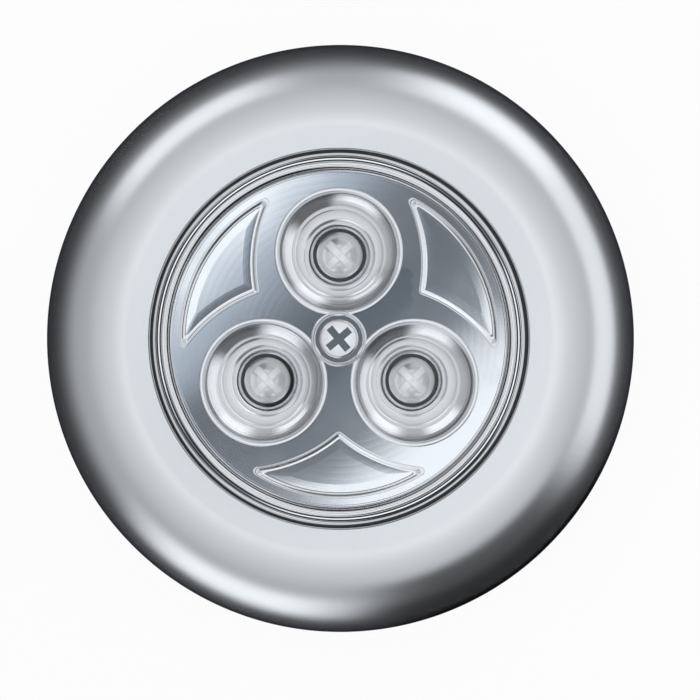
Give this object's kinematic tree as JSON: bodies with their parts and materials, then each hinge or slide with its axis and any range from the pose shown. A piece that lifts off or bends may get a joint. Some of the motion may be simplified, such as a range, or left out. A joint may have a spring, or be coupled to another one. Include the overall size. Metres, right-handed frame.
{
  "type": "puck light",
  "caption": "Round stick-on puck light: satin silver housing with a press-on lens head over a mirror reflector and a twist-off base that holds the cells.",
  "frame": {"origin": "centre of the adhesive pad's back face, at the middle of the round body", "axes": "+Z out of the lens; the upper diode in the picture lies on +Y, and the cells lie along Y"},
  "size_m": [0.067, 0.067, 0.0286],
  "materials": {
    "satin_silver": "satin metallic silver paint on moulded plastic",
    "mirror_finish": "bright vacuum-metallised mirror on moulded plastic",
    "clear_plastic": "clear, polished",
    "diode_lens": "water-clear epoxy",
    "grey_plastic": "moulded, fine matt texture",
    "white_plastic": "moulded, satin",
    "black_plastic": "moulded, satin",
    "foam_pad": "white closed-cell foam with adhesive",
    "board": "green solder mask",
    "cell_wrap": "plain printed film over a metal can",
    "contact_plate": "nickel-plated, pressed",
    "steel": "bright zinc and nickel plate",
    "red_insulation": "soft wire insulation",
    "black_insulation": "soft wire insulation"
  },
  "bodies": {
    "base": {"adhesive_pad": "foam_pad", "base_plate": "grey_plastic"},
    "lamp": {"housing_shell": "satin_silver", "battery_tray": "white_plastic", "battery_1": "cell_wrap", "battery_2": "cell_wrap", "battery_3": "cell_wrap", "contact_spring_1": "steel", "contact_spring_2": "steel", "contact_spring_3": "steel", "bridge_contact_1": "contact_plate", "bridge_contact_2": "contact_plate", "positive_terminal": "contact_plate", "negative_terminal": "contact_plate", "switch_body": "black_plastic", "switch_pin_1": "steel", "switch_pin_2": "steel", "housing_screw_1": "steel", "housing_screw_2": "steel", "housing_screw_3": "steel", "housing_screw_4": "steel", "red_wire": "red_insulation", "black_wire": "black_insulation", "switch_wire": "red_insulation", "switch_lead": "red_insulation", "battery_lead": "black_insulation", "return_spring_1": "steel", "return_spring_2": "steel", "return_spring_3": "steel", "return_spring_4": "steel"},
    "push_button": {"switch_plunger": "white_plastic"},
    "head": {"head_carrier": "grey_plastic", "circuit_board": "board", "resistor_1": "black_plastic", "resistor_2": "black_plastic", "resistor_3": "black_plastic", "led_1": "diode_lens", "led_2": "diode_lens", "led_3": "diode_lens", "anode_1": "steel", "anode_2": "steel", "anode_3": "steel", "cathode_1": "steel", "cathode_2": "steel", "cathode_3": "steel", "reflector": "mirror_finish", "lens_ring": "mirror_finish", "lens_cover": "clear_plastic", "center_screw": "steel"}
  },
  "joints": [
    {"name": "base_twist", "type": "hinge", "parent": "base", "child": "lamp", "pos_m": [0, 0, 0.0035], "axis": [0, 0, 1], "range_deg": [0, 28]},
    {"name": "head_press", "type": "slide", "parent": "lamp", "child": "head", "axis": [0, 0, 1], "range_m": [-0.0015, 0], "stiffness_N_per_m": 1500, "springref_m": 0.002, "deforming": ["return_spring_1", "return_spring_2", "return_spring_3", "return_spring_4", "switch_lead", "battery_lead"]},
    {"name": "switch_press", "type": "slide", "parent": "lamp", "child": "push_button", "axis": [0, 0, 1], "range_m": [-0.0015, 0]}
  ],
  "couplings": [
    {"joint": "switch_press", "follows": "head_press", "ratio": 1}
  ]
}
